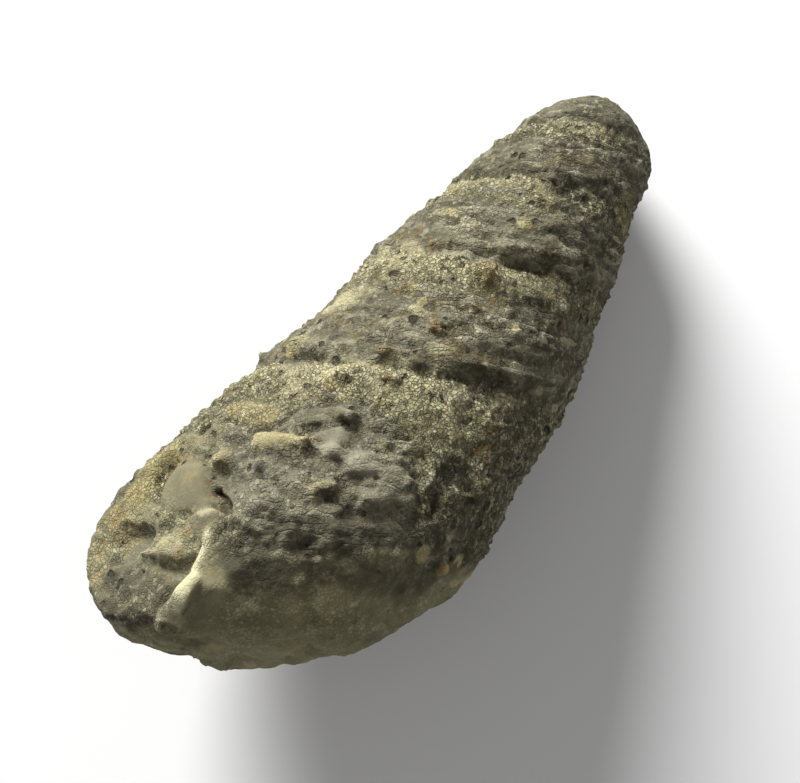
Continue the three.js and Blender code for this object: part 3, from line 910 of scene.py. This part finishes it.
def mixed(tree, share, *ends):
    """A mix of two colours."""
    first, second = [(*end, 1) if isinstance(end, tuple) else end for end in ends]
    return add_node(tree, "Mix", {0: share, 6: first, 7: second}, data_type="RGBA").outputs[2]


def maths(tree, operation, first, second=0.0, third=0.0):
    return add_node(tree, "Math", {0: first, 1: second, 2: third}, operation=operation).outputs[0]


def times(tree, first, *others):
    """The product of two values or more."""
    for other in others:
        first = maths(tree, "MULTIPLY", first, other)
    return first


def scaled(tree, value, factor, base):
    """A value times a factor, plus a base."""
    return maths(tree, "MULTIPLY_ADD", value, factor, base)


def stepped(tree, value, low, high):
    """A smooth step from 0 to 1 as the value passes from low to high."""
    ends = {0: value, 1: low, 2: high}
    return add_node(tree, "MapRange", ends, interpolation_type="SMOOTHSTEP").outputs[0]


def noisy(tree, where, scale, detail, roughness=0.5):
    inputs = {"Vector": where, "Scale": scale, "Detail": detail, "Roughness": roughness}
    return add_node(tree, "TexNoise", inputs).outputs[0]


def tinted(tree, colour, share, tone, low, high, tint):
    """Lays a share of a tint as the tone passes from low to high."""
    return mixed(tree, times(tree, stepped(tree, tone, low, high), share), colour, tint)


def speckled(tree, colour, share, tone, specks):
    for low, high, tint in specks:
        colour = tinted(tree, colour, share, tone, low, high, tint)
    return colour


def look_up(tree, name):
    """The node that reads an attribute of the skin."""
    return add_node(tree, "Attribute", attribute_name=name)


def grains_group():
    """Packed sand grains: a random tone for each grain, dark joints, and their height."""
    group = bpy.data.node_groups.new("packed_grains", "ShaderNodeTree")
    group.interface.new_socket("Vector", in_out="INPUT", socket_type="NodeSocketVector")
    for name in ("Scale", "Tone", "Joint", "Height"):
        way = "INPUT" if name == "Scale" else "OUTPUT"
        group.interface.new_socket(name, in_out=way, socket_type="NodeSocketFloat")
    inlet = group.nodes.new("NodeGroupInput")
    outlet = group.nodes.new("NodeGroupOutput")
    where, scale = inlet.outputs["Vector"], inlet.outputs["Scale"]
    ragged = add_node(group, "TexNoise", {"Vector": where, "Scale": scale, "Detail": 3.0})
    shift = add_node(group, "VectorMath", {0: ragged.outputs["Color"], 1: (0.0004, 0.0004, 0.0004)},
                     operation="MULTIPLY")
    bent = add_node(group, "VectorMath", {0: where, 1: shift.outputs[0]}, operation="ADD")
    placed_cells = {"Vector": bent.outputs[0], "Scale": scale}
    cells = add_node(group, "TexVoronoi", placed_cells)
    edges = add_node(group, "TexVoronoi", placed_cells, feature="DISTANCE_TO_EDGE")
    tone = add_node(group, "SeparateColor", {0: cells.outputs["Color"]}).outputs[0]
    top = stepped(group, edges.outputs["Distance"], 0.0, 0.16)
    height = times(group, top, scaled(group, tone, 0.6, 0.5))
    for i, socket in enumerate((tone, maths(group, "SUBTRACT", 1.0, top), height)):
        group.links.new(socket, outlet.inputs[i])
    return group


def read_skin(tree):
    """What the finish reads at each place: its position, the kept shares and broad noises."""
    skin = SimpleNamespace()
    skin.place = add_node(tree, "TexCoord").outputs["Object"]
    skin.along = add_node(tree, "SeparateXYZ", {0: skin.place}).outputs[0]
    cover = look_up(tree, "cover")
    parts = add_node(tree, "SeparateColor", {0: cover.outputs["Color"]}).outputs
    skin.matrix, skin.mud, skin.broken = parts[0], parts[1], parts[2]
    skin.stain = cover.outputs["Alpha"]
    skin.laid = look_up(tree, "stones").outputs
    skin.chart = look_up(tree, "chart").outputs["Vector"]
    skin.unseamed = add_node(tree, "SeparateXYZ", {0: skin.chart}).outputs[2]
    skin.grain = look_up(tree, "grain").outputs["Fac"]
    skin.broad = noisy(tree, skin.place, BROAD_SCALE, 4.0, 0.6)
    skin.middle = noisy(tree, skin.place, MIDDLE_SCALE, 4.0, 0.65)
    skin.gravel = noisy(tree, skin.place, GRAVEL_SCALE, 5.0, 0.62)
    skin.patchy = stepped(tree, noisy(tree, skin.place, PATCH_SCALE, 3.0), 0.38, 0.62)
    return skin


def cover_colours(tree, skin):
    """Bare mould, sandy matrix, clay and broken stone, each where it lies."""
    broad, middle = skin.broad, skin.middle
    shell = mixed(tree, stepped(tree, broad, 0.38, 0.64), *SHELL_TONES)
    shell = mixed(tree, stepped(tree, middle, 0.5, 0.66), shell, SHELL_RUST)
    shell = tinted(tree, shell, 0.7, middle, 0.46, 0.36, SHELL_PALE)
    sandy = mixed(tree, stepped(tree, broad, 0.4, 0.6), *SAND_TONES)
    sandy = mixed(tree, stepped(tree, middle, 0.52, 0.66), sandy, SAND_RUST)
    clay = mixed(tree, stepped(tree, broad, 0.36, 0.62), *CLAY_TONES)
    clay = tinted(tree, clay, 0.6, middle, 0.55, 0.67, CLAY_RUST)
    clay = tinted(tree, clay, 0.6, middle, 0.42, 0.34, CLAY_PALE)
    face = mixed(tree, stepped(tree, broad, 0.4, 0.6), *FACE_TONES)
    face = mixed(tree, stepped(tree, middle, 0.56, 0.68), face, FACE_RUST)
    colour = mixed(tree, skin.matrix, shell, sandy)
    # painted shade: darker towards the base, less on the mud; then a darker grey towards the tip
    base_shade_share = scaled(tree, skin.mud, -0.42, 0.42)
    colour = tinted(tree, colour, base_shade_share, skin.along, 0.0, -0.014, BASE_SHADE)
    colour = tinted(tree, colour, 0.5, skin.along, 0.012, 0.034, TIP_GREY)
    colour = mixed(tree, skin.mud, colour, clay)
    return mixed(tree, skin.broken, colour, face)


def grain_shares(tree, skin):
    """How much of the dark band and painted shade, flakes, pits, gravel and sand shows at each place."""
    shows = SimpleNamespace()
    shows.stain = times(tree, skin.stain, scaled(tree, stepped(tree, skin.middle, 0.34, 0.52), 0.5, 0.5))
    outside_dark_band = scaled(tree, shows.stain, -0.65, 1.0)
    uncovered = maths(tree, "SUBTRACT", 1.0, skin.matrix)
    uncovered = maths(tree, "SUBTRACT", uncovered, maths(tree, "ADD", skin.mud, skin.broken))
    shows.flakes = times(tree, uncovered, skin.unseamed, scaled(tree, skin.grain, 0.5, 0.2),
                         scaled(tree, skin.patchy, 0.7, 0.3))
    holes = add_node(tree, "TexVoronoi", {"Vector": skin.place, "Scale": PIT_SCALE})
    uneven = scaled(tree, skin.gravel, 0.9, holes.outputs["Distance"])
    uneven = scaled(tree, skin.patchy, 0.25, uneven)
    shows.pits = times(tree, stepped(tree, uneven, 0.68, 0.56), scaled(tree, skin.mud, -0.8, 1.0),
                       stepped(tree, skin.grain, 0.5, 0.9))
    shows.gravel = times(tree, scaled(tree, skin.matrix, 0.55, 0.35), skin.grain,
                         scaled(tree, skin.mud, -0.6, 1.0), outside_dark_band)
    shows.sand = times(tree, scaled(tree, skin.matrix, 0.5, 0.32), scaled(tree, skin.grain, 0.75, 0.2),
                       scaled(tree, skin.mud, -0.3, 1.0), outside_dark_band, scaled(tree, skin.patchy, 0.6, 0.4))
    return shows


def stone_finish():
    """Rough stone whose grain follows the covers kept on its skin."""
    finish = bpy.data.materials.new("fossil_stone")
    finish.use_nodes = True
    tree = finish.node_tree
    tree.nodes.clear()
    surface = add_node(tree, "BsdfPrincipled", {"Roughness": 0.92, "Specular IOR Level": 0.22})
    add_node(tree, "OutputMaterial", {"Surface": surface.outputs[0]})
    skin = read_skin(tree)
    shows = grain_shares(tree, skin)
    packed = grains_group()
    drawn = add_node(tree, "VectorMath", {0: skin.chart, 1: FLAKE_STRETCH}, operation="MULTIPLY")
    sand, flakes = [
        add_node(tree, "Group", {"Vector": where, "Scale": scale}, node_tree=packed).outputs
        for where, scale in ((skin.place, SAND_SCALE), (drawn.outputs[0], FINE_SCALE))]

    colour = cover_colours(tree, skin)
    # the dark band, and painted shade above the sutures
    colour = mixed(tree, times(tree, shows.stain, 0.88), colour, DARK_BAND_AND_SHADE)
    colour = mixed(tree, times(tree, skin.laid["Alpha"], 0.8), colour, skin.laid["Color"])
    colour = speckled(tree, colour, shows.flakes, flakes["Tone"], FLAKE_SPECKS)
    colour = speckled(tree, colour, shows.gravel, skin.gravel, GRAVEL_SPECKS)
    colour = speckled(tree, colour, shows.sand, sand["Tone"], SAND_SPECKS)
    # painted shade in the joints between sand grains
    colour = mixed(tree, times(tree, shows.sand, sand["Joint"], 0.6), colour, JOINT_SHADE)
    # painted shade in the pits
    colour = mixed(tree, times(tree, shows.pits, 0.75), colour, PIT_SHADE)
    # painted shade in hollows, where the pointiness is low
    hollow = add_node(tree, "NewGeometry").outputs["Pointiness"]
    colour = tinted(tree, colour, 0.5, hollow, 0.48, 0.42, HOLLOW_SHADE)
    tree.links.new(colour, surface.inputs["Base Color"])

    height = times(tree, sand["Height"], shows.sand, 1.1)
    height = scaled(tree, skin.gravel, times(tree, shows.gravel, 2.2), height)
    height = scaled(tree, flakes["Height"], times(tree, shows.flakes, 0.4), height)
    worn = noisy(tree, skin.place, FINE_SCALE, 4.0)
    height = scaled(tree, worn, scaled(tree, shows.sand, 0.5, 0.15), height)
    height = scaled(tree, shows.pits, -1.3, height)
    bump = add_node(tree, "Bump", {"Height": height, "Distance": BUMP_DEPTH, "Strength": 1.0})
    tree.links.new(bump.outputs[0], surface.inputs["Normal"])
    return finish


def build_fossil():
    """Draws the mould out, breaks it, sets its stones, then carves and colours its skin."""
    spire = draw_out_spire()
    break_faces(spire)
    stones = set_stones(spire)
    apply_modifier(spire, "REMESH", mode="VOXEL", voxel_size=FIRST_CELL * MM)
    stroke(spire)
    apply_modifier(spire, "REMESH", mode="VOXEL", voxel_size=STONE_CELL * MM)
    roughen(spire)
    carve_coil(spire)
    settle(spire)
    colour_covers(spire, stones)
    pick_only(spire)
    bpy.ops.object.shade_smooth()
    spire.data.materials.append(stone_finish())
    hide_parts("fossil_shell")
    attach(spire, "root")


# ---- table, light and camera, in metres ----

TABLE_SIZE = 3.0
TABLE_BELOW = 0.00002  # under the fossil, so that the skins don't meet
# Where the camera is from the cone's apex, and which way its right side and its back point.
CAMERA_FROM_APEX = (-0.06761, -0.00429, 0.13807)
CAMERA_RIGHT = (0.5508, -0.8346, 0.0)
CAMERA_BACK = (-0.0728, -0.0481, 0.9962)
SENSOR_WIDTH = 36  # in millimetres
LENS_TO_SENSOR = 1.7378125  # how many sensor widths the lens is long


def lay_table():
    start_alone()
    bpy.ops.mesh.primitive_plane_add(size=TABLE_SIZE, location=(0, 0, -TABLE_BELOW))
    table = bpy.context.object
    table.name = "table"
    paper = bpy.data.materials.new("white_paper")
    paper.use_nodes = True
    surface = paper.node_tree.nodes["Principled BSDF"]
    surface.inputs["Base Color"].default_value = (0.86, 0.86, 0.86, 1)
    surface.inputs["Roughness"].default_value = 0.95
    table.data.materials.append(paper)


def hang_light(name, toward, size, reach, power):
    """A soft panel that shines on the fossil from a direction."""
    toward = Vector(toward)
    bpy.ops.object.light_add(type="AREA", location=toward.normalized() * reach)
    light = bpy.context.object
    light.name = name
    light.data.shape = "DISK"
    light.data.size = size
    light.data.energy = power
    light.rotation_euler = toward.to_track_quat("Z", "Y").to_euler()


def fill_room(strength):
    """Even white light from all around."""
    world = bpy.data.worlds.new("room")
    bpy.context.scene.world = world
    world.use_nodes = True
    background = world.node_tree.nodes["Background"]
    background.inputs["Color"].default_value = (1, 1, 1, 1)
    background.inputs["Strength"].default_value = strength


def set_camera():
    """Looks almost straight down, with the tip away to the upper right."""
    place = Vector(APEX * MM) + Vector(CAMERA_FROM_APEX)
    back = Vector(CAMERA_BACK).normalized()
    right = Vector(CAMERA_RIGHT)
    right = (right - back * right.dot(back)).normalized()
    up = back.cross(right)
    data = bpy.data.cameras.new("camera")
    camera = bpy.data.objects.new("camera", data)
    bpy.context.scene.collection.objects.link(camera)
    camera.matrix_world = Matrix.Translation(place) @ Matrix((right, up, back)).transposed().to_4x4()
    data.sensor_width = SENSOR_WIDTH
    data.lens = LENS_TO_SENSOR * SENSOR_WIDTH
    data.clip_start = 0.005
    bpy.context.scene.camera = camera


build_fossil()
lay_table()
hang_light("window", (0.5, 0.78, 0.38), 0.6, 1.2, 36)
hang_light("side", (0.55, -0.83, 0.12), 0.9, 1.2, 3)
fill_room(0.28)
set_camera()
bpy.context.scene.view_settings.view_transform = "Standard"
